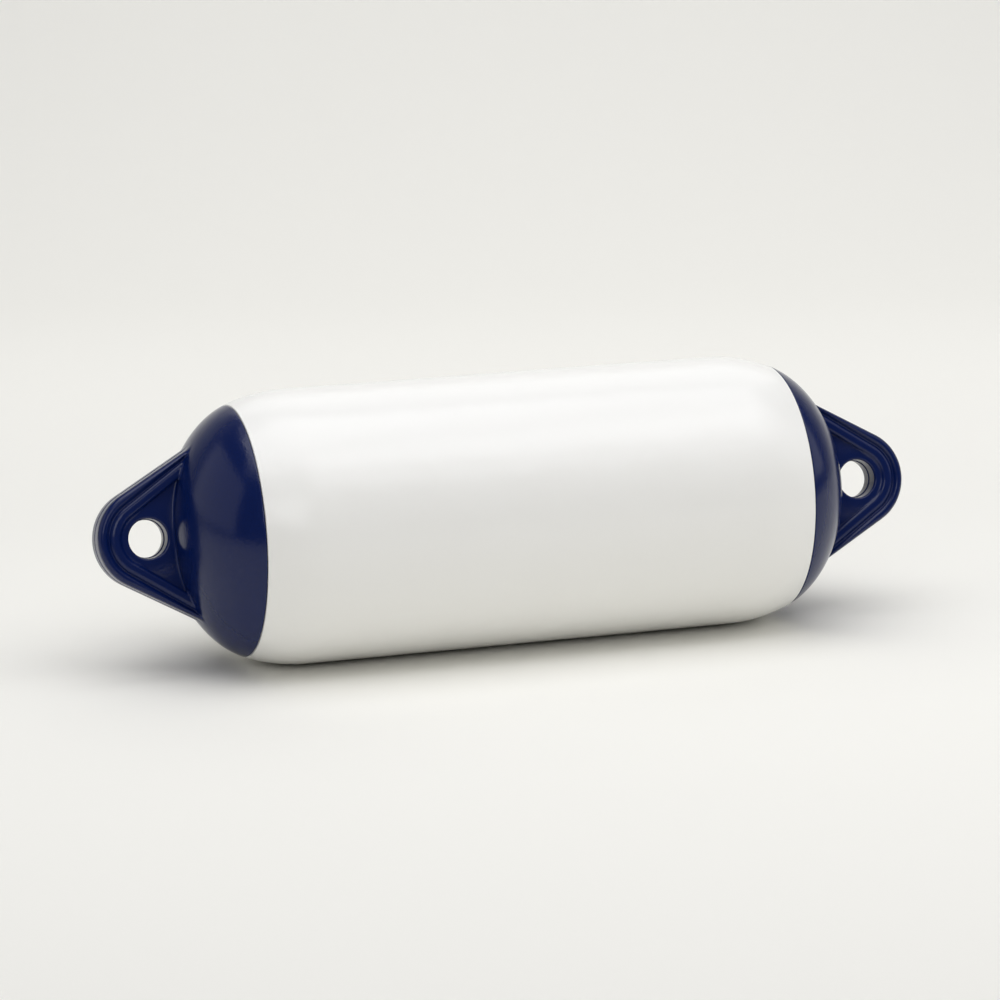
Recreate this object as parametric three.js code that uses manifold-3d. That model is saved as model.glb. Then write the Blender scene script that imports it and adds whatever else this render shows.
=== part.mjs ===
// A cylindrical boat fender lying on its side: a white inflated vinyl body with a navy blue
// moulded end at each side, each end carrying a rope eye, and an inflation valve in one end.
// Millimetres, +Z up. X runs along the body, the body rests on z = 0 at its small flat spot.

import * as THREE from 'three';
import { mergeVertices } from 'three/addons/utils/BufferGeometryUtils.js';
import Module from 'manifold-3d';

const wasm = await Module();
wasm.setup();

// White body
const bodyDiameter = 200;
const bodyLength = 413.8; // from one seam to the other
const shoulderLength = 43.5; // the rounded stretch before each seam
const seamDiameter = 182.6; // where the white body ends and the blue end starts
const restFlatWidth = 24; // the flat spot that the soft body gets under its own weight
const seamGap = 0.3; // clearance between the body and each fused end

// Blue dome
const domeHeight = 48; // from the seam to the dome's tip
const domeSetback = 20; // the dome's ellipse has its centre this far inside the seam

// Rope eye, a thick plate in the plane of the body's axis
const ropeHoleDiameter = 28;
const ropeHoleFromSeam = 66.7; // from the seam to the hole's centre
const ropeHoleChamfer = 0.8;
const noseRadius = 37; // the plate's round nose, about the hole's centre
const legHalfAngle = THREE.MathUtils.degToRad(29.5); // each side of the plate to the axis
const rootDepth = 28; // the plate runs this far into the dome
const rimThickness = 27; // across the round bead that follows the plate's edge
const rimWidth = 7.9;
const rimCrown = 5.5; // depth of the bead's rounding, measured across the plate
const grooveThickness = 22.5; // across the groove inside the bead
const grooveWidth = 1.7;
const ridgeThickness = 26.4; // across the inner ridge
const ridgeWidth = 7.3;
const ridgeCrown = 2.6;
const webThickness = 18.5; // across the flat web inside the ridge
const bossThickness = 22.5; // across the low round boss at the hole
const bossWidth = 7;
const eyeLean = THREE.MathUtils.degToRad(12); // both plates lean back, as the body rolled to rest

// Inflation valve, in the far side of the right end
const valveOffAxis = 56; // distance of the valve's face from the body's axis
const valveDiameter = 14;
const valveDepth = 11; // how far the rubber seat reaches into the dome
const flangeDiameter = 20;
const flangeThickness = 1.6;
const valveClearance = 0.3; // around and under each valve piece
const screwDiameter = 5;
const screwLength = 7; // under the head
const screwHeadDiameter = 9;
const screwHeadThickness = 2;
const screwSlotWidth = 1.4;
const screwSlotDepth = 1;

// Mesh fineness
const roundSteps = 96;
const domeSteps = 9;
const shoulderSteps = 5;
const noseSteps = 16;
const holeSteps = 32;
const beadSteps = 3;
const beadRoundShare = 0.44; // of a bead's width, rounded away at each side

// Worked out from the sizes above
const bodyRadius = bodyDiameter / 2;
const seamRadius = seamDiameter / 2;
const axisHeight = Math.sqrt(bodyRadius ** 2 - (restFlatWidth / 2) ** 2);
const domeAxial = domeHeight + domeSetback;
const domeStart = Math.asin(domeSetback / domeAxial);
const domeRadial = seamRadius / Math.cos(domeStart);
const ropeHoleRadius = ropeHoleDiameter / 2;
const ridgeInset = rimWidth + grooveWidth;
const webInset = ridgeInset + ridgeWidth;

const whiteVinyl = { color: 0xeceeea, roughness: 0.22, metalness: 0 };
const blueVinyl = { color: 0x0f1d4e, roughness: 0.38, metalness: 0 };
const blackRubber = { color: 0x1b1c1f, roughness: 0.6, metalness: 0 };
const whitePlastic = { color: 0xd9dbd8, roughness: 0.4, metalness: 0 };

// A closed geometry as a solid that can be joined and cut
function toSolid(geometry) {
  const bare = geometry.clone();
  bare.deleteAttribute('normal');
  bare.deleteAttribute('uv');
  const merged = mergeVertices(bare, 1e-4);
  const corners = merged.index.array;
  const triVerts = [];
  for (let i = 0; i < corners.length; i += 3) {
    const [a, b, c] = [corners[i], corners[i + 1], corners[i + 2]];
    if (a !== b && b !== c && c !== a) triVerts.push(a, b, c);
  }
  return new wasm.Manifold(new wasm.Mesh({
    numProp: 3,
    vertProperties: new Float32Array(merged.attributes.position.array),
    triVerts: new Uint32Array(triVerts),
  }));
}

// A solid as a named mesh with its own material
function namedMesh(name, solid, finish) {
  const { vertProperties, triVerts } = solid.getMesh();
  const geometry = new THREE.BufferGeometry();
  geometry.setAttribute('position', new THREE.BufferAttribute(vertProperties, 3));
  geometry.setIndex(new THREE.BufferAttribute(triVerts, 1));
  geometry.computeVertexNormals();
  const mesh = new THREE.Mesh(geometry, new THREE.MeshStandardMaterial(finish));
  mesh.name = name;
  return mesh;
}

// A profile of [radius, distance along the axis] points, turned about the Y axis
function turned(profile, steps) {
  return new THREE.LatheGeometry(profile.map(([radius, y]) => new THREE.Vector2(radius, y)), steps);
}

// The white body: a straight drum, a round shoulder at each side and the flat spot it rests on
function fenderBody() {
  const drop = bodyRadius - seamRadius;
  const shoulderRadius = (shoulderLength ** 2 + drop ** 2) / (2 * drop);
  const sweep = Math.asin(shoulderLength / shoulderRadius);
  const seamX = bodyLength / 2;
  const shoulder = [];
  for (let i = 0; i <= shoulderSteps; i += 1) {
    const angle = sweep * i / shoulderSteps;
    const x = seamX - shoulderLength + shoulderRadius * Math.sin(angle);
    shoulder.push([bodyRadius - shoulderRadius * (1 - Math.cos(angle)), x]);
  }
  const mirrored = shoulder.map(([radius, x]) => [radius, -x]).reverse();
  const drum = turned([[0, -seamX], ...mirrored, ...shoulder, [0, seamX]], roundSteps);
  drum.rotateZ(-Math.PI / 2);
  drum.translate(0, 0, axisHeight);

  const underFloor = new THREE.BoxGeometry(bodyLength + bodyDiameter, bodyDiameter, bodyDiameter);
  underFloor.translate(0, 0, -bodyDiameter / 2);
  return toSolid(drum).subtract(toSolid(underFloor));
}

// A point of the dome at an angle of its ellipse, as [radius, distance from the seam]
function domePoint(angle) {
  return [domeRadial * Math.cos(angle), domeAxial * Math.sin(angle) - domeSetback];
}

// The dome, with the seam at x = 0 and its tip towards +X
function dome() {
  const firstAngle = Math.asin((domeSetback + seamGap) / domeAxial);
  const profile = [[0, seamGap]];
  for (let i = 0; i < domeSteps; i += 1) {
    profile.push(domePoint(firstAngle + (Math.PI / 2 - firstAngle) * i / domeSteps));
  }
  profile.push([0, domeHeight]);
  const geometry = turned(profile, roundSteps);
  geometry.rotateZ(-Math.PI / 2);
  return toSolid(geometry);
}

// The plate's outline moved inwards by inset: one leg, the round nose, the other leg
function eyeOutline(inset) {
  const radius = noseRadius - inset;
  const rootX = domeHeight - rootDepth;
  const legRun = ropeHoleFromSeam - rootX;
  const rootY = (radius + legRun * Math.sin(legHalfAngle)) / Math.cos(legHalfAngle);
  const turn = Math.PI / 2 - legHalfAngle;
  const points = [new THREE.Vector2(rootX, -rootY)];
  for (let i = 0; i <= noseSteps; i += 1) {
    const angle = turn * (2 * i / noseSteps - 1);
    const x = ropeHoleFromSeam + radius * Math.cos(angle);
    points.push(new THREE.Vector2(x, radius * Math.sin(angle)));
  }
  points.push(new THREE.Vector2(rootX, rootY));
  return points;
}

// A flat outline made into a slab centred on the plane y = 0, its edges rounded inwards by
// round in the plane and over the depth of crown across it
function slab(points, thickness, round = 0, crown = 0) {
  const geometry = new THREE.ExtrudeGeometry(new THREE.Shape(points), {
    depth: thickness - 2 * crown,
    bevelEnabled: round > 0,
    bevelThickness: crown,
    bevelSize: round,
    bevelOffset: -round,
    bevelSegments: beadSteps,
  });
  geometry.translate(0, 0, crown - thickness / 2);
  geometry.rotateX(Math.PI / 2);
  return toSolid(geometry);
}

// A bead or a groove's floor that follows the plate's outline between two insets
function band(outer, inner, thickness, crown = 0) {
  const round = crown > 0 ? beadRoundShare * (inner - outer) : 0;
  return slab([...eyeOutline(outer), ...eyeOutline(inner).reverse()], thickness, round, crown);
}

// The rope hole, with a small chamfer where it leaves the boss on each face
function ropeHole() {
  const face = bossThickness / 2;
  const mouth = ropeHoleRadius + ropeHoleChamfer;
  const half = [[ropeHoleRadius, face - ropeHoleChamfer], [mouth, face], [mouth, rimThickness]];
  const mirrored = half.map(([radius, y]) => [radius, -y]).reverse();
  const geometry = turned([[0, -rimThickness], ...mirrored, ...half, [0, rimThickness]], holeSteps);
  geometry.translate(ropeHoleFromSeam, 0, 0);
  return toSolid(geometry);
}

// The low round boss around the rope hole
function ropeBoss() {
  const radius = ropeHoleRadius + bossWidth;
  const geometry = new THREE.CylinderGeometry(radius, radius, bossThickness, holeSteps);
  geometry.translate(ropeHoleFromSeam, 0, 0);
  return toSolid(geometry);
}

// One blue end, a single moulding: the dome and its rope eye
function ropeEnd() {
  const web = slab(eyeOutline(rimWidth / 2), webThickness);
  const rim = band(0, rimWidth, rimThickness, rimCrown);
  const groove = band(rimWidth / 2, ridgeInset + ridgeWidth / 2, grooveThickness);
  const ridge = band(ridgeInset, webInset, ridgeThickness, ridgeCrown);
  return dome().add(web).add(rim).add(groove).add(ridge).add(ropeBoss()).subtract(ropeHole());
}

// Where the valve sits: its own +Y points straight out of the dome's far side
function valvePlace() {
  const angle = Math.acos(valveOffAxis / domeRadial);
  const [, x] = domePoint(angle);
  const out = new THREE.Vector3(Math.sin(angle) / domeAxial, Math.cos(angle) / domeRadial, 0);
  const turn = new THREE.Quaternion().setFromUnitVectors(
    new THREE.Vector3(0, 1, 0),
    out.normalize(),
  );
  return new THREE.Matrix4().makeRotationFromQuaternion(turn).setPosition(x, valveOffAxis, 0);
}

// The recess that the rubber seat fits, open to the outside
function valveRecess() {
  const shaft = valveDiameter / 2 + valveClearance;
  const rim = flangeDiameter / 2 + valveClearance;
  const floor = -valveDepth - valveClearance;
  const ledge = -flangeThickness - valveClearance;
  const geometry = turned(
    [[0, floor], [shaft, floor], [shaft, ledge], [rim, ledge], [rim, valveDepth], [0, valveDepth]],
    holeSteps,
  );
  geometry.applyMatrix4(valvePlace());
  return toSolid(geometry);
}

// The rubber seat: a flanged bush with a blind hole for the screw and a sink for its head
function valveSeat() {
  const bore = screwDiameter / 2 + valveClearance;
  const sink = screwHeadDiameter / 2 + valveClearance;
  const sinkFloor = -screwHeadThickness - valveClearance;
  const boreFloor = -screwHeadThickness - screwLength - valveClearance;
  return toSolid(turned([
    [0, -valveDepth], [valveDiameter / 2, -valveDepth], [valveDiameter / 2, -flangeThickness],
    [flangeDiameter / 2, -flangeThickness], [flangeDiameter / 2, 0], [sink, 0],
    [sink, sinkFloor], [bore, sinkFloor], [bore, boreFloor], [0, boreFloor],
  ], holeSteps));
}

// The plastic screw that closes the valve, with a slot across its head
function valveScrew() {
  const screw = toSolid(turned([
    [0, -screwHeadThickness - screwLength], [screwDiameter / 2, -screwHeadThickness - screwLength],
    [screwDiameter / 2, -screwHeadThickness], [screwHeadDiameter / 2, -screwHeadThickness],
    [screwHeadDiameter / 2, 0], [0, 0],
  ], holeSteps));
  const slot = new THREE.BoxGeometry(screwHeadDiameter * 2, screwSlotDepth * 2, screwSlotWidth);
  return screw.subtract(toSolid(slot));
}

function buildFender() {
  const fender = new THREE.Group();
  fender.add(namedMesh('fender_body', fenderBody(), whiteVinyl));

  const ends = new THREE.Group();
  ends.position.z = axisHeight;
  ends.rotation.x = -eyeLean;
  fender.add(ends);

  const left = new THREE.Group();
  left.position.x = -bodyLength / 2;
  left.rotation.z = Math.PI;
  ends.add(left);
  left.add(namedMesh('left_rope_end', ropeEnd(), blueVinyl));

  const right = new THREE.Group();
  right.position.x = bodyLength / 2;
  ends.add(right);
  right.add(namedMesh('right_rope_end', ropeEnd().subtract(valveRecess()), blueVinyl));
  const valve = new THREE.Group();
  valve.applyMatrix4(valvePlace());
  valve.add(namedMesh('valve_seat', valveSeat(), blackRubber));
  valve.add(namedMesh('valve_screw', valveScrew(), whitePlastic));
  right.add(valve);
  return fender;
}

export default buildFender();
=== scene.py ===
import math

import bpy
import numpy as np
from mathutils import Matrix, Vector


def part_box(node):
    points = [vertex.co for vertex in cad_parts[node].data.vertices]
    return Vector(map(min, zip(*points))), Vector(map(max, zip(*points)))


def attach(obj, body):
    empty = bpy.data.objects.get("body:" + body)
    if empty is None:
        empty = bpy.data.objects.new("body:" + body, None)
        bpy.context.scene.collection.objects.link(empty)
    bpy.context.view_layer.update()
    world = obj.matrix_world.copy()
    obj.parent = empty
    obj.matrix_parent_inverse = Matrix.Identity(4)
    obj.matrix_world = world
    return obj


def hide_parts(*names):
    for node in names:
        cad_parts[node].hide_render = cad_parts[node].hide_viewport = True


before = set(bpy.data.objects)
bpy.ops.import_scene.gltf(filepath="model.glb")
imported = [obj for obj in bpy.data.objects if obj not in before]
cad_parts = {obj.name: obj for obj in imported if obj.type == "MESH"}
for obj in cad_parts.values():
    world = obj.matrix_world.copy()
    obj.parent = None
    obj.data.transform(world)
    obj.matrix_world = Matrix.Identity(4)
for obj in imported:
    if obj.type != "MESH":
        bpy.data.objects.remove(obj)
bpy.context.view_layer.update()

MM = 0.001
TINY = 1e-12

# Sizes read from the frame
_, body_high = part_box("fender_body")
end_low, end_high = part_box("right_rope_end")
RADIUS = body_high.y
SEAM = body_high.x
AXIS = body_high.z - RADIUS
REACH = end_high.x - SEAM
SEAM_GAP = end_low.x - SEAM

# Sizes of the white body
SHOULDER = 43.5 * MM
SEAM_RADIUS = 91.3 * MM
LIP = 0.9 * MM
FLAT_EDGE = 0.5 * MM
# The blown vinyl is uneven, and calm near the seams: waves of (radians per metre along it,
# waves around it, phase and weight)
UNEVEN, CALM_LENGTH = 0.12 * MM, 25 * MM
WAVES = [(21, 2, 0.7, 1), (37, -3, 2.1, 1), (9, 5, 4.0, 0.7), (58, 4, 1.3, 0.5)]
# Its mesh: steps around, rings along each half, and the hidden ends' rings as shares of a radius
BODY_STEPS = 288
DRUM_RINGS, SHOULDER_RINGS, LIP_RINGS = 48, 26, 7
END_SHARES = (0.97, 0.9, 0.6, 0.25)

# Sizes of the blue dome and its rope eye
DOME_HEIGHT = 48 * MM
DOME_SETBACK = 20 * MM
DOME_AXIAL = DOME_HEIGHT + DOME_SETBACK
DOME_RADIAL = SEAM_RADIUS / math.cos(math.asin(DOME_SETBACK / DOME_AXIAL))
NOSE = 37 * MM
HOLE_X = REACH - NOSE
HOLE_RADIUS = 14 * MM
LEG_ANGLE, GROOVE_ANGLE = math.radians(29.5), math.radians(33.5)
LEAN = math.radians(12)
# The eye plate: each half is measured from its middle plane, each width along the plate
RIM_HALF, RIM_WIDTH, RIM_CROWN = 13.5 * MM, 7.9 * MM, 5.5 * MM
GROOVE_HALF, GROOVE_WIDTH = 10.3 * MM, 0.4 * MM
RIDGE_HALF, RIDGE_WIDTH, RIDGE_CROWN = 13.2 * MM, 8.4 * MM, 2.6 * MM
WEB_HALF = 9.5 * MM
# The web rises to the boss between these two distances from the hole's middle
BOSS_HALF, BOSS_NEAR, BOSS_FAR = 11.2 * MM, 15 * MM, 38 * MM
# The share of a bead's width that is rounded, and the ridge's rounding towards the web
ROUND_SHARE = 0.44
RIDGE_EDGE, RIDGE_FALL = 2.6 * MM, 2.2 * MM
# Blends: towards the rim, at the ridge's foot along the legs, and at its foot round the hole
SOFT_EDGE, CRISP_EDGE, NOSE_EDGE = 1.6 * MM, 0.6 * MM, 4 * MM
NOSE_EDGE_FAR = 24 * MM
SOFT_PAST_GROOVE, CRISP_PAST_MIDDLE = 1.5 * MM, 2 * MM
# Blends between dome and plate, at the rope hole and at the seam
FILLET, HOLE_EDGE, SEAM_EDGE = 1.8 * MM, 1.7 * MM, 1.2 * MM
HOLE_DRAFT = 0.4 * MM
# The parting line: a fine flash around the plate, and one twice as high in the hole
FLASH_HEIGHT, FLASH_WIDTH = 0.3 * MM, 0.5 * MM
FLASH_ROOM = 0.05 * MM
OUTLINE = NOSE - FLASH_HEIGHT - FLASH_ROOM

# Sizes of the valve
VALVE_OFF_AXIS = 56 * MM
VALVE_RADIUS, VALVE_DEPTH = 7 * MM, 11 * MM
FLANGE_RADIUS, FLANGE_THICK = 10 * MM, 1.6 * MM
CLEARANCE = 0.3 * MM
SCREW_RADIUS, SCREW_LENGTH = 2.5 * MM, 7 * MM
HEAD_RADIUS, HEAD_THICK = 4.5 * MM, 2 * MM
SLOT_WIDTH, SLOT_DEPTH = 1.4 * MM, 1 * MM
RECESS_EDGE, SEAT_EDGE, SCREW_EDGE = 0.5 * MM, 0.4 * MM, 0.3 * MM
TURNED_STEPS = 64
EDGE_SHARES = (0, 0.33, 0.67, 1)

# The grid from which the blue ends are meshed: steps, and how far each reaches
FINE_STEP, QUICK_STEP = 0.75 * MM, 1.6 * MM
BACK_STEP, LINE_STEP, SIDE_STEP, DOME_STEP = 0.4 * MM, 0.35 * MM, 1.6 * MM, 2.2 * MM
GRID_HALF, EYE_HALF, PLATE_HALF, LINE_HALF = 92 * MM, 64 * MM, 16 * MM, 1.4 * MM
BACK_DEPTH, GRID_MARGIN = 2 * MM, 1 * MM
VALVE_NEAR, VALVE_FAR = 45 * MM, 67 * MM

# How its points settle on the surface
SETTLE_ROUNDS, EVEN_ROUNDS = 7, 2
LONGEST_MOVE, SLOPE_STEP, FLAT_TOLERANCE = 0.6 * MM, 0.02 * MM, 0.02 * MM
LEAST_SLOPE_SQUARED = 0.04


# Meshes

def make_mesh(name, points, faces, material, normals=None):
    """A smooth-shaded mesh object."""
    mesh = bpy.data.meshes.new(name)
    mesh.from_pydata([tuple(p) for p in points], [], [tuple(f) for f in faces])
    mesh.validate()
    mesh.polygons.foreach_set("use_smooth", [True] * len(mesh.polygons))
    if normals is not None:
        mesh.normals_split_custom_set_from_vertices([tuple(n) for n in normals])
    mesh.update()
    obj = bpy.data.objects.new(name, mesh)
    bpy.context.scene.collection.objects.link(obj)
    obj.data.materials.append(material)
    return obj


def lathe(profile, steps):
    """Points and faces of a profile of (distance along X, radius), closed at both poles."""
    profile = np.array(profile)
    inner = profile[1:-1]
    angles = np.linspace(0, 2 * math.pi, steps, endpoint=False)
    ring = np.stack([np.cos(angles), np.sin(angles)], 1)
    points = [[profile[0][0], 0, 0]]
    for along, radius in inner:
        for c, s in ring:
            points.append([along, radius * c, radius * s])
    points.append([profile[-1][0], 0, 0])
    last = len(points) - 1
    faces = []
    for i in range(steps):
        j = (i + 1) % steps
        faces.append((0, 1 + j, 1 + i))
        top = 1 + (len(inner) - 1) * steps
        faces.append((last, top + i, top + j))
        for k in range(len(inner) - 1):
            a = 1 + k * steps
            b = a + steps
            faces.append((a + i, a + j, b + j, b + i))
    return np.array(points, float), faces


# The white body

def body_profile():
    """(x, radius) from the left pole to the right one."""
    drop = RADIUS - SEAM_RADIUS
    arc = (SHOULDER ** 2 + drop ** 2) / (2 * drop)
    sweep = math.asin(SHOULDER / arc)
    start = SEAM - SHOULDER
    half = [(x, RADIUS) for x in np.linspace(0, start, DRUM_RINGS, endpoint=False)]
    # the arc ends where the lip's rounding begins
    end_angle = sweep - LIP / arc
    for angle in np.linspace(0, end_angle, SHOULDER_RINGS):
        half.append((start + arc * math.sin(angle), RADIUS - arc * (1 - math.cos(angle))))
    x0, r0 = half[-1]
    for turn in np.linspace(0, math.pi / 2, LIP_RINGS)[1:]:
        half.append((x0 + (SEAM - x0) * math.sin(turn), r0 - LIP * (1 - math.cos(turn))))
    inner_radius = half[-1][1]
    for share in END_SHARES:
        half.append((SEAM, inner_radius * share))
    half.append((SEAM, 0))
    mirrored = [(-x, r) for x, r in half[1:]][::-1]
    return mirrored + half


def build_body(material):
    points, faces = lathe(body_profile(), BODY_STEPS)
    x, y, z = points.T
    around = np.arctan2(z, y)
    total = sum(weight for _, _, _, weight in WAVES)
    uneven = sum(weight * np.sin(along * x + waves * around + phase)
                 for along, waves, phase, weight in WAVES) / total
    share = np.clip((SEAM - np.abs(x)) / CALM_LENGTH, 0, 1)
    shrink = 1 - UNEVEN / RADIUS * (1 + uneven) * share
    y *= shrink
    z *= shrink
    z += AXIS
    # the flat spot under it
    share = np.clip(0.5 + 0.5 * z / FLAT_EDGE, 0, 1)
    z = z * share + FLAT_EDGE * share * (1 - share)
    return make_mesh("body", np.stack([x, y, np.maximum(z, 0)], 1), faces, material)


# The blue ends

def smooth_min(a, b, k):
    """The smaller of a and b, rounded where they differ by less than k."""
    h = np.clip(0.5 + 0.5 * (b - a) / k, 0, 1)
    return b + (a - b) * h - k * h * (1 - h)


def smooth_max(a, b, k):
    return -smooth_min(-a, -b, k)


def fade(value, near, far):
    """1 up to near, 0 from far on, and smooth between."""
    share = np.clip((far - value) / (far - near), 0, 1)
    return share * share * (3 - 2 * share)


def oval(p, q, a, b):
    """Signed distance, close to the edge, of an ellipse with the semi-axes a and b."""
    k0 = np.sqrt((p / a) ** 2 + (q / b) ** 2)
    k1 = np.sqrt((p / a ** 2) ** 2 + (q / b ** 2) ** 2)
    return np.where(k1 > 0, k0 * (k0 - 1) / np.maximum(k1, TINY), -np.minimum(a, b))


def rounded(d, y, middle, half_width, half_height, in_plane, across):
    """A bar with oval corners, across the plate's section."""
    p = np.maximum(np.abs(d - middle) - (half_width - in_plane), 0)
    q = np.maximum(y - (half_height - across), 0)
    return oval(p, q, in_plane, across)


def from_eye(u, v, angle):
    """Distance from the rope hole over the nose, and from the leg's line beside it."""
    leg_x, leg_z = math.sin(angle), math.cos(angle)
    return np.where(u * leg_z > v * leg_x, np.hypot(u, v), u * leg_x + v * leg_z)


def end_field(x, y, z):
    """Below zero inside a blue end: x from the seam outwards, y across the plate."""
    dome = oval(x + DOME_SETBACK, np.hypot(y, z), DOME_AXIAL, DOME_RADIAL)
    u, v, w = x - HOLE_X, np.abs(z), np.abs(y)
    from_hole = np.hypot(u, v)
    inset = OUTLINE - from_eye(u, v, LEG_ANGLE)
    # the grooves run to the outline a little, so that rim and ridge narrow along the legs
    depth = OUTLINE - from_eye(u, v, GROOVE_ANGLE)
    flash = FLASH_HEIGHT * np.exp(-(y / FLASH_WIDTH) ** 2)
    rim_round = ROUND_SHARE * RIM_WIDTH
    rim = oval(np.maximum(np.maximum(rim_round - inset, depth - RIM_WIDTH + rim_round), 0),
               np.maximum(w - RIM_HALF + RIM_CROWN, 0), rim_round, RIM_CROWN) - flash
    ridge_inset = RIM_WIDTH + GROOVE_WIDTH
    ridge_middle = ridge_inset + RIDGE_WIDTH / 2
    inner = depth > ridge_middle
    ridge = rounded(depth, w, ridge_middle, RIDGE_WIDTH / 2, RIDGE_HALF,
                    np.where(inner, RIDGE_EDGE, ROUND_SHARE * RIDGE_WIDTH),
                    np.where(inner, RIDGE_FALL, RIDGE_CROWN))
    start = RIM_WIDTH / 2 - inset
    groove = np.maximum(np.maximum(w - GROOVE_HALF, start), depth - ridge_middle)
    # the web rises softly to the rope hole
    rise = (BOSS_HALF - WEB_HALF) * fade(from_hole, BOSS_NEAR, BOSS_FAR)
    web = np.maximum(w - WEB_HALF - rise, start)
    # the ridge is soft towards the rim and around the hole, and crisp along the legs
    inner_edge = (CRISP_EDGE
                  + (NOSE_EDGE - CRISP_EDGE) * fade(from_hole, BOSS_NEAR, NOSE_EDGE_FAR))
    outwards = fade(depth, ridge_inset + SOFT_PAST_GROOVE, ridge_middle + CRISP_PAST_MIDDLE)
    plate = smooth_min(np.minimum(web, groove), ridge,
                       inner_edge + (SOFT_EDGE - inner_edge) * outwards)
    plate = smooth_min(plate, rim, SOFT_EDGE)
    solid = smooth_min(dome, plate, FILLET)
    bore = HOLE_RADIUS + HOLE_DRAFT * (w / BOSS_HALF) ** 2 - 2 * flash
    solid = smooth_max(solid, bore - from_hole, HOLE_EDGE)
    return smooth_max(solid, SEAM_GAP - x, SEAM_EDGE)


def valve_frame():
    """Where the valve sits in the end: its own +Y points out of the dome."""
    angle = math.acos(VALVE_OFF_AXIS / DOME_RADIAL)
    x = DOME_AXIAL * math.sin(angle) - DOME_SETBACK
    out = Vector((math.sin(angle) / DOME_AXIAL, math.cos(angle) / DOME_RADIAL, 0)).normalized()
    turn = Vector((0, 1, 0)).rotation_difference(out).to_matrix().to_4x4()
    return Matrix.Translation((x, VALVE_OFF_AXIS, 0)) @ turn


def right_end_field(x, y, z):
    """The right end with the recess of its valve."""
    place = np.array(valve_frame().inverted())
    px, py, pz = (place[i, 0] * x + place[i, 1] * y + place[i, 2] * z + place[i, 3]
                  for i in range(3))
    radial = np.hypot(px, pz)
    shaft = np.maximum(radial - VALVE_RADIUS - CLEARANCE, -VALVE_DEPTH - CLEARANCE - py)
    ledge = np.maximum(radial - FLANGE_RADIUS - CLEARANCE, -FLANGE_THICK - CLEARANCE - py)
    recess = np.minimum(shaft, ledge)
    return smooth_max(end_field(x, y, z), -recess, RECESS_EDGE)


def spaced(*spans):
    """Grid lines: each span is (start, end, step)."""
    lines = [np.linspace(a, b, max(1, round((b - a) / step)), endpoint=False)
             for a, b, step in spans]
    return np.concatenate(lines + [[spans[-1][1]]])


def surface_net(field, xs, ys, zs):
    """Points and quads of the field's zero surface on a grid of uneven lines."""
    values = field(xs[:, None, None], ys[None, :, None], zs[None, None, :])
    inside = values < 0
    shape = tuple(n - 1 for n in inside.shape)
    corner_steps = [(i, j, k) for i in (0, 1) for j in (0, 1) for k in (0, 1)]
    count = sum(inside[i:i + shape[0], j:j + shape[1], k:k + shape[2]].astype(np.int8)
                for i, j, k in corner_steps)
    cells = np.argwhere((count > 0) & (count < 8))
    number = np.full(shape, -1, np.int64)
    number[tuple(cells.T)] = np.arange(len(cells))
    corners = cells[:, None, :] + np.array(corner_steps)[None]
    place = np.stack([xs[corners[..., 0]], ys[corners[..., 1]], zs[corners[..., 2]]], -1)
    value = values[corners[..., 0], corners[..., 1], corners[..., 2]]
    total, hits = np.zeros((len(cells), 3)), np.zeros(len(cells))
    for a in range(8):
        for b in range(a + 1, 8):
            if sum(abs(p - q) for p, q in zip(corner_steps[a], corner_steps[b])) != 1:
                continue
            va, vb = value[:, a], value[:, b]
            cross = (va < 0) != (vb < 0)
            share = np.where(cross, va / np.where(cross, va - vb, 1), 0)
            spot = place[:, a] + (place[:, b] - place[:, a]) * share[:, None]
            total += spot * cross[:, None]
            hits += cross
    points = total / hits[:, None]
    quads = []
    for axis in range(3):
        low = [slice(None)] * 3
        high = [slice(None)] * 3
        low[axis], high[axis] = slice(0, -1), slice(1, None)
        change = inside[tuple(low)] != inside[tuple(high)]
        edges = np.argwhere(change)
        b, c = (axis + 1) % 3, (axis + 2) % 3
        keep = ((edges[:, b] > 0) & (edges[:, c] > 0)
                & (edges[:, b] < shape[b]) & (edges[:, c] < shape[c]))
        edges = edges[keep]
        ring = []
        for step_b, step_c in ((-1, -1), (0, -1), (0, 0), (-1, 0)):
            cell = edges.copy()
            cell[:, b] += step_b
            cell[:, c] += step_c
            ring.append(number[tuple(cell.T)])
        quad = np.stack(ring, 1)
        outward = inside[tuple(edges.T)]
        quad[~outward] = quad[~outward][:, ::-1]
        quads.append(quad)
    return points, np.concatenate(quads)


def gradient(field, points):
    parts = []
    for axis in range(3):
        shift = np.zeros(3)
        shift[axis] = SLOPE_STEP
        ahead, behind = points + shift, points - shift
        parts.append((field(*ahead.T) - field(*behind.T)) / (2 * SLOPE_STEP))
    return np.stack(parts, 1)


def settle(field, points, quads):
    """Evens the points out, and puts them on the field's zero surface, with its normals."""
    edges = np.concatenate([quads[:, [i, (i + 1) % 4]] for i in range(4)])
    for turn in range(SETTLE_ROUNDS):
        if turn < EVEN_ROUNDS:
            total = np.zeros_like(points)
            for axis in range(3):
                total[:, axis] = np.bincount(edges[:, 0], points[edges[:, 1], axis], len(points))
            near = np.bincount(edges[:, 0], minlength=len(points))[:, None]
            points = 0.5 * points + 0.5 * total / near
        slope = gradient(field, points)
        steep = np.maximum((slope ** 2).sum(1), LEAST_SLOPE_SQUARED)
        move = (field(*points.T) / steep)[:, None] * slope
        length = np.maximum(np.linalg.norm(move, axis=1, keepdims=True), TINY)
        points = points - move * np.minimum(1, LONGEST_MOVE / length)
    slope = gradient(field, points)
    return points, slope / np.linalg.norm(slope, axis=1, keepdims=True)


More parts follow.
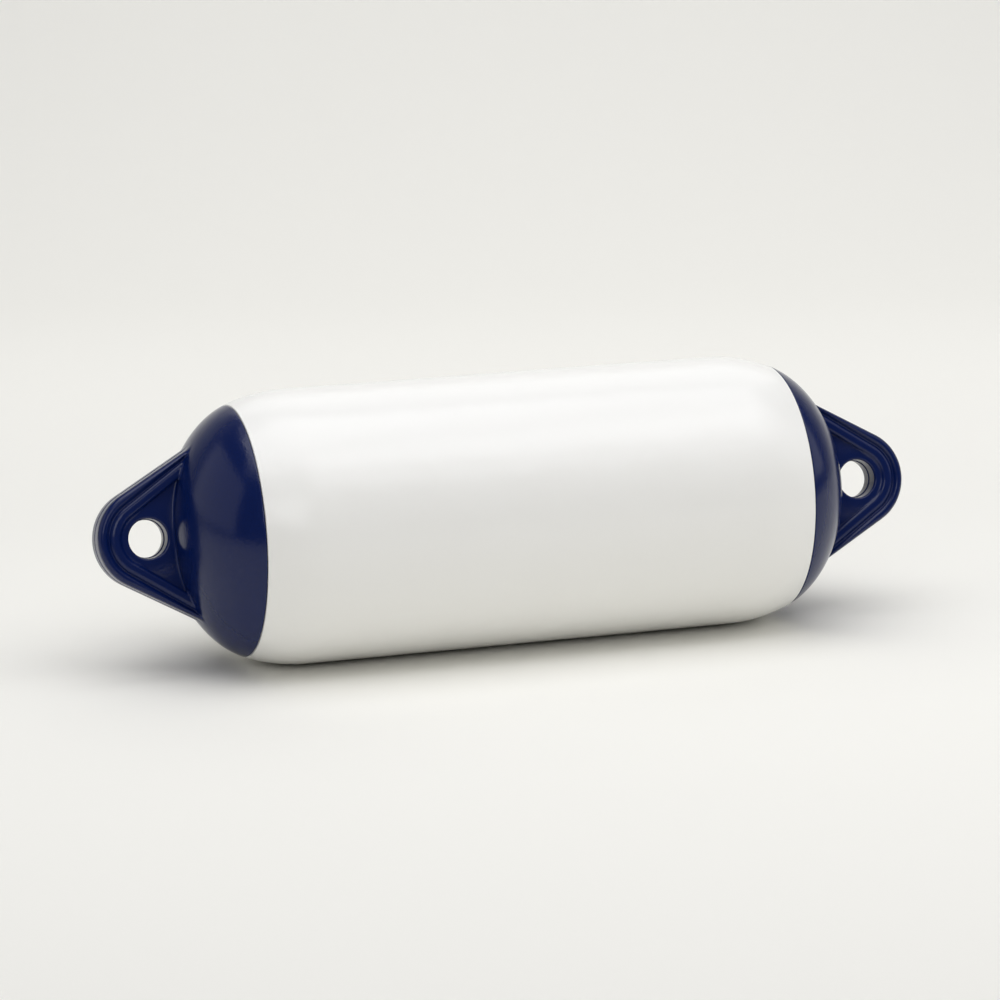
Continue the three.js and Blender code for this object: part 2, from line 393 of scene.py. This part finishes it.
def close_back(points, quads):
    """Makes the hidden flat back one face: the points that stay in use, and all faces."""
    flat = np.abs(points[:, 0] - SEAM_GAP) < FLAT_TOLERANCE
    back = flat[quads].all(1)
    kept = quads[~back]
    gone = quads[back]
    pairs = np.concatenate([gone[:, [i, (i + 1) % 4]] for i in range(4)])
    twin = {(int(a), int(b)) for a, b in pairs}
    follow = {a: b for a, b in twin if (b, a) not in twin}
    start = next(iter(follow))
    loop, at = [start], follow[start]
    while at != start:
        loop.append(at)
        at = follow[at]
    used = np.unique(np.concatenate([kept.ravel(), np.array(loop)]))
    renumber = np.full(len(points), -1, np.int64)
    renumber[used] = np.arange(len(used))
    faces = [tuple(f) for f in renumber[kept].tolist()]
    faces.append(tuple(renumber[np.array(loop)].tolist()))
    return used, faces


def end_place(side):
    """From an end's own frame, x outwards from its seam, to the row frame."""
    lean = Matrix.Rotation(-LEAN, 4, "X")
    turn = Matrix.Rotation(math.pi if side < 0 else 0, 4, "Z")
    return (Matrix.Translation((0, 0, AXIS)) @ lean
            @ Matrix.Translation((side * SEAM, 0, 0)) @ turn)


def lines_across(*beyond_plate):
    """Grid lines across the plate, with the given spans on its far side."""
    return spaced(
        (-GRID_HALF, -PLATE_HALF, DOME_STEP), (-PLATE_HALF, -LINE_HALF, FINE_STEP),
        (-LINE_HALF, LINE_HALF, LINE_STEP), (LINE_HALF, PLATE_HALF, FINE_STEP), *beyond_plate)


def build_end(name, side, field, ys, material):
    fine = FINE_STEP
    xs = spaced((SEAM_GAP - BACK_STEP, BACK_DEPTH, BACK_STEP),
                (BACK_DEPTH, REACH + GRID_MARGIN, fine))
    zs = spaced((-GRID_HALF, -EYE_HALF, SIDE_STEP), (-EYE_HALF, EYE_HALF, fine),
                (EYE_HALF, GRID_HALF, SIDE_STEP))
    points, quads = surface_net(field, xs, ys, zs)
    points, normals = settle(field, points, quads)
    used, faces = close_back(points, quads)
    place = np.array(end_place(side))
    world = points[used] @ place[:3, :3].T + place[:3, 3]
    return make_mesh(name, world, faces, material, normals[used] @ place[:3, :3].T)


# The valve

def rounded_profile(corners, edge):
    """A (radius, y) profile with each inner corner rounded by a short curve."""
    points = [corners[0]]
    for before, corner, after in zip(corners, corners[1:], corners[2:]):
        before, corner, after = np.array(before), np.array(corner), np.array(after)
        into = (corner - before) / np.linalg.norm(corner - before)
        away = (after - corner) / np.linalg.norm(after - corner)
        start, end = corner - into * edge, corner + away * edge
        for share in EDGE_SHARES:
            a, b = (1 - share) ** 2, share ** 2
            points.append(tuple(a * start + 2 * share * (1 - share) * corner + b * end))
    points.append(corners[-1])
    return points


def turned_part(name, corners, edge, place, material):
    """A turned piece from the (radius, y) corners of its profile, y along its own Y axis."""
    profile = rounded_profile(corners, edge)
    points, faces = lathe([(y, r) for r, y in profile], TURNED_STEPS)
    points = points[:, [1, 0, 2]]
    faces = [f[::-1] for f in faces]
    matrix = np.array(place)
    return make_mesh(name, points @ matrix[:3, :3].T + matrix[:3, 3], faces, material)


def cut_slot(screw, place):
    """The screwdriver slot across the screw's head."""
    half = np.array([HEAD_RADIUS * 2, SLOT_DEPTH, SLOT_WIDTH / 2])
    matrix = np.array(place)
    corners = [np.array([i, j, k]) * half for i in (-1, 1) for j in (-1, 1) for k in (-1, 1)]
    box = bpy.data.meshes.new("slot_cut")
    box.from_pydata([tuple(matrix[:3, :3] @ c + matrix[:3, 3]) for c in corners], [], [
        (0, 1, 3, 2), (4, 6, 7, 5), (0, 4, 5, 1), (2, 3, 7, 6), (0, 2, 6, 4), (1, 5, 7, 3),
    ])
    cutter = bpy.data.objects.new("slot_cut", box)
    bpy.context.scene.collection.objects.link(cutter)
    cut = screw.modifiers.new("slot", "BOOLEAN")
    cut.operation, cut.solver, cut.object = "DIFFERENCE", "EXACT", cutter
    bpy.context.view_layer.update()
    graph = bpy.context.evaluated_depsgraph_get()
    screw.data = bpy.data.meshes.new_from_object(screw.evaluated_get(graph))
    screw.modifiers.clear()
    bpy.data.objects.remove(cutter)


def build_valve(seat_material, screw_material):
    place = end_place(1) @ valve_frame()
    bore, sink = SCREW_RADIUS + CLEARANCE, HEAD_RADIUS + CLEARANCE
    sink_floor = -HEAD_THICK - CLEARANCE
    bore_floor = sink_floor - SCREW_LENGTH
    seat_corners = [
        (0, -VALVE_DEPTH), (VALVE_RADIUS, -VALVE_DEPTH), (VALVE_RADIUS, -FLANGE_THICK),
        (FLANGE_RADIUS, -FLANGE_THICK), (FLANGE_RADIUS, 0), (sink, 0),
        (sink, sink_floor), (bore, sink_floor), (bore, bore_floor), (0, bore_floor),
    ]
    seat = turned_part("seat", seat_corners, SEAT_EDGE, place, seat_material)
    screw_end = -HEAD_THICK - SCREW_LENGTH
    screw_corners = [
        (0, screw_end), (SCREW_RADIUS, screw_end), (SCREW_RADIUS, -HEAD_THICK),
        (HEAD_RADIUS, -HEAD_THICK), (HEAD_RADIUS, 0), (0, 0),
    ]
    screw = turned_part("screw", screw_corners, SCREW_EDGE, place, screw_material)
    cut_slot(screw, place)
    return seat, screw


# Materials

def new_material(name):
    material = bpy.data.materials.new(name)
    material.use_nodes = True
    nodes, links = material.node_tree.nodes, material.node_tree.links
    return material, nodes, links, nodes["Principled BSDF"]


def noise(nodes, links, vector, scale, detail):
    texture = nodes.new("ShaderNodeTexNoise")
    texture.inputs["Scale"].default_value = scale
    texture.inputs["Detail"].default_value = detail
    links.new(vector, texture.inputs["Vector"])
    return texture


def ramp(nodes, links, source, low, high):
    """Spreads the middle of a noise over low to high."""
    span = nodes.new("ShaderNodeMapRange")
    span.inputs["From Min"].default_value = 0.3
    span.inputs["From Max"].default_value = 0.7
    span.inputs["To Min"].default_value = low
    span.inputs["To Max"].default_value = high
    links.new(source.outputs["Fac"], span.inputs["Value"])
    return span


def bump(nodes, links, source, distance, after=None):
    node = nodes.new("ShaderNodeBump")
    node.inputs["Distance"].default_value = distance
    links.new(source.outputs["Fac"], node.inputs["Height"])
    if after is not None:
        links.new(after.outputs["Normal"], node.inputs["Normal"])
    return node


def white_vinyl():
    material, nodes, links, shader = new_material("white_vinyl")
    shader.inputs["Base Color"].default_value = (0.932, 0.927, 0.892, 1)
    coords = nodes.new("ShaderNodeTexCoord").outputs["Object"]
    patches = noise(nodes, links, coords, scale=9, detail=3)
    rough = ramp(nodes, links, patches, low=0.2, high=0.27)
    links.new(rough.outputs["Result"], shader.inputs["Roughness"])
    dents = noise(nodes, links, coords, scale=22, detail=2)
    dented = bump(nodes, links, dents, distance=1.2 * MM)
    # faint streaks along the body
    stretch = nodes.new("ShaderNodeMapping")
    stretch.inputs["Scale"].default_value = (0.1, 1, 1)
    links.new(coords, stretch.inputs["Vector"])
    streaks = noise(nodes, links, stretch.outputs["Vector"], scale=130, detail=3)
    streaky = bump(nodes, links, streaks, distance=0.08 * MM, after=dented)
    grain = noise(nodes, links, coords, scale=700, detail=2)
    grainy = bump(nodes, links, grain, distance=0.02 * MM, after=streaky)
    links.new(grainy.outputs["Normal"], shader.inputs["Normal"])
    return material


def navy_vinyl():
    material, nodes, links, shader = new_material("navy_vinyl")
    shader.inputs["Base Color"].default_value = (0.002, 0.0095, 0.07, 1)
    shader.inputs["Specular IOR Level"].default_value = 0.34
    coords = nodes.new("ShaderNodeTexCoord").outputs["Object"]
    patches = noise(nodes, links, coords, scale=30, detail=3)
    rough = ramp(nodes, links, patches, low=0.14, high=0.21)
    links.new(rough.outputs["Result"], shader.inputs["Roughness"])
    grain = noise(nodes, links, coords, scale=420, detail=2)
    grainy = bump(nodes, links, grain, distance=0.1 * MM)
    links.new(grainy.outputs["Normal"], shader.inputs["Normal"])
    return material


def plain(name, colour, roughness, scale):
    """One colour, with a roughness that varies a little on the given scale of noise."""
    material, nodes, links, shader = new_material(name)
    shader.inputs["Base Color"].default_value = (*colour, 1)
    coords = nodes.new("ShaderNodeTexCoord").outputs["Object"]
    patches = noise(nodes, links, coords, scale, detail=2)
    rough = ramp(nodes, links, patches, low=roughness - 0.05, high=roughness + 0.05)
    links.new(rough.outputs["Result"], shader.inputs["Roughness"])
    return material


# The object

white = white_vinyl()
navy = navy_vinyl()
rubber = plain("valve_rubber", (0.03, 0.03, 0.032), roughness=0.6, scale=400)
plastic = plain("valve_plastic", (0.7, 0.71, 0.69), roughness=0.4, scale=300)

body = build_body(white)
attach(body, "root")
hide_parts("fender_body")

plain_ys = lines_across((PLATE_HALF, GRID_HALF, DOME_STEP))
valve_ys = lines_across((PLATE_HALF, VALVE_NEAR, DOME_STEP), (VALVE_NEAR, VALVE_FAR, FINE_STEP),
                        (VALVE_FAR, GRID_HALF, DOME_STEP))
left = build_end("left_end", -1, end_field, plain_ys, navy)
right = build_end("right_end", 1, right_end_field, valve_ys, navy)
for obj, node in ((left, "left_rope_end"), (right, "right_rope_end")):
    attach(obj, "root")
    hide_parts(node)

seat, screw = build_valve(rubber, plastic)
for obj, node, slot in ((seat, "valve_seat", "valve_rubber"),
                        (screw, "valve_screw", "valve_plastic")):
    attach(obj, "root")
    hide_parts(node)

# The stage

CAMERA_AZIMUTH = math.radians(18.048)
CAMERA_ELEVATION = math.radians(12)
CAMERA_ROLL = math.radians(-0.928)
CAMERA_DISTANCE = 3.1666
LENS, SENSOR_WIDTH, CLIP_END = 155.03, 36, 60
AIM_RIGHT, AIM_UP = -5.545 * MM, 5.938 * MM

# Turns a frame whose -Y looks towards the camera into the row frame
FACING_CAMERA = Matrix.Rotation(-CAMERA_AZIMUTH, 4, "Z")

# The sheet in metres: flat from its front to its bend, then a quarter turn and up to its top
SHEET_HALF_WIDTH, SHEET_FRONT, SHEET_BEND, SHEET_TOP = 6, -6, 1.5, 5
BEND_RADIUS, BEND_STEPS = 1.6, 24
# Painted shade: its colour goes from the darker one, towards the camera, to the lighter one
# between these two places
PAINTED_SHADE_TO, LIGHTER_FROM = -0.9, -0.2
PAINTED_SHADE_COLOUR, LIGHTER = (0.867, 0.858, 0.808, 1), (0.923, 0.914, 0.86, 1)


def build_stage():
    """A seamless sheet: flat under the object, curving up far behind it."""
    material, nodes, links, shader = new_material("sheet")
    shader.inputs["Roughness"].default_value = 0.9
    shader.inputs["Specular IOR Level"].default_value = 0.1
    # painted shade: the sheet's colour is a little darker towards the camera, in place of light
    # that falls off there
    coords = nodes.new("ShaderNodeTexCoord")
    split = nodes.new("ShaderNodeSeparateXYZ")
    links.new(coords.outputs["Object"], split.inputs["Vector"])
    shade = nodes.new("ShaderNodeMapRange")
    shade.inputs["From Min"].default_value = PAINTED_SHADE_TO
    shade.inputs["From Max"].default_value = LIGHTER_FROM
    links.new(split.outputs["Y"], shade.inputs["Value"])
    mix = nodes.new("ShaderNodeMix")
    mix.data_type = "RGBA"
    mix.inputs["A"].default_value = PAINTED_SHADE_COLOUR
    mix.inputs["B"].default_value = LIGHTER
    links.new(shade.outputs["Result"], mix.inputs["Factor"])
    links.new(mix.outputs["Result"], shader.inputs["Base Color"])
    profile = [(SHEET_FRONT, 0), (0, 0), (SHEET_BEND, 0)]
    for angle in np.linspace(0, math.pi / 2, BEND_STEPS)[1:]:
        profile.append((SHEET_BEND + BEND_RADIUS * math.sin(angle),
                        BEND_RADIUS * (1 - math.cos(angle))))
    profile.append((SHEET_BEND + BEND_RADIUS, SHEET_TOP))
    points, faces = [], []
    for y, z in profile:
        points += [(-SHEET_HALF_WIDTH, y, z), (SHEET_HALF_WIDTH, y, z)]
    for i in range(len(profile) - 1):
        a = 2 * i
        faces.append((a, a + 1, a + 3, a + 2))
    sheet = make_mesh("sheet", points, faces, material)
    sheet.matrix_world = FACING_CAMERA


def camera_frame():
    """The directions back to the camera, right and up."""
    back = Vector((-math.sin(CAMERA_AZIMUTH) * math.cos(CAMERA_ELEVATION),
                   -math.cos(CAMERA_AZIMUTH) * math.cos(CAMERA_ELEVATION),
                   math.sin(CAMERA_ELEVATION)))
    right = (-back).cross(Vector((0, 0, 1))).normalized()
    up = right.cross(-back)
    c, s = math.cos(CAMERA_ROLL), math.sin(CAMERA_ROLL)
    return back, right * c + up * s, up * c - right * s


def build_camera():
    back, right, up = camera_frame()
    target = Vector((0, 0, AXIS)) + right * AIM_RIGHT + up * AIM_UP
    place = target + back * CAMERA_DISTANCE
    data = bpy.data.cameras.new("camera")
    data.lens = LENS
    data.sensor_width = SENSOR_WIDTH
    data.clip_end = CLIP_END
    camera = bpy.data.objects.new("camera", data)
    bpy.context.scene.collection.objects.link(camera)
    camera.matrix_world = Matrix((
        (right.x, up.x, back.x, place.x),
        (right.y, up.y, back.y, place.y),
        (right.z, up.z, back.z, place.z),
        (0, 0, 0, 1),
    ))
    bpy.context.scene.camera = camera


# Studio lamps round the object: name, azimuth from the camera (to the right is positive)
# and elevation in degrees, distance, width, height and radiance
LAMPS = [
    ("top_far", 20, 84, 2.6, 3.2, 2.5, 1.45),
    ("top_left", -90, 80, 2.6, 2.5, 2.3, 0.7),
    ("right_high", 60, 55, 2.6, 2.3, 1.3, 1.29),
    ("right", 92, 22, 3.0, 2.1, 1.76, 0.89),
    ("front", 0, 26, 4.5, 2.4, 1.6, 2.05),
    ("front_right", 55, 34, 4.0, 2.0, 1.8, 0.33),
    ("left", -84, 20, 2.6, 2.6, 1.8, 0.53),
    ("left_high", -30, 57, 2.6, 2.1, 1.05, 0.43),
    ("back_far", 180, 45, 3.2, 3.0, 1.5, 0.74),
]
# One more lights the sheet behind the object: place, aim, width, height and radiance
BACKDROP_LAMP = ((0, 0.9, 1.3), (0, 2.9, 0.6), 4.0, 0.6, 1.0)
WORLD_STRENGTH = 0.1
LAMP_COLOUR = (0.972, 0.973, 1)


def add_lamp(name, place, aim, width, height, radiance):
    data = bpy.data.lights.new(name, "AREA")
    data.shape = "RECTANGLE"
    data.size, data.size_y = width, height
    data.color = LAMP_COLOUR
    data.energy = math.pi * width * height * radiance
    lamp = bpy.data.objects.new(name, data)
    bpy.context.scene.collection.objects.link(lamp)
    lamp.location = place
    lamp.rotation_euler = (aim - place).to_track_quat("-Z", "Y").to_euler()
    lamp.visible_camera = False


def build_lights():
    centre = Vector((0, 0, AXIS))
    for name, azimuth, elevation, distance, width, height, radiance in LAMPS:
        azimuth, elevation = math.radians(azimuth), math.radians(elevation)
        out = Vector((math.sin(azimuth) * math.cos(elevation),
                      -math.cos(azimuth) * math.cos(elevation), math.sin(elevation)))
        place = centre + FACING_CAMERA @ out * distance
        add_lamp(name, place, centre, width, height, radiance)
    place, aim, width, height, radiance = BACKDROP_LAMP
    add_lamp("backdrop", FACING_CAMERA @ Vector(place), FACING_CAMERA @ Vector(aim),
             width, height, radiance)
    world = bpy.data.worlds.new("world")
    bpy.context.scene.world = world
    world.use_nodes = True
    background = world.node_tree.nodes["Background"]
    background.inputs["Color"].default_value = (1, 1, 1, 1)
    background.inputs["Strength"].default_value = WORLD_STRENGTH


build_stage()
build_camera()
build_lights()

scene = bpy.context.scene
scene.view_settings.view_transform = "Standard"
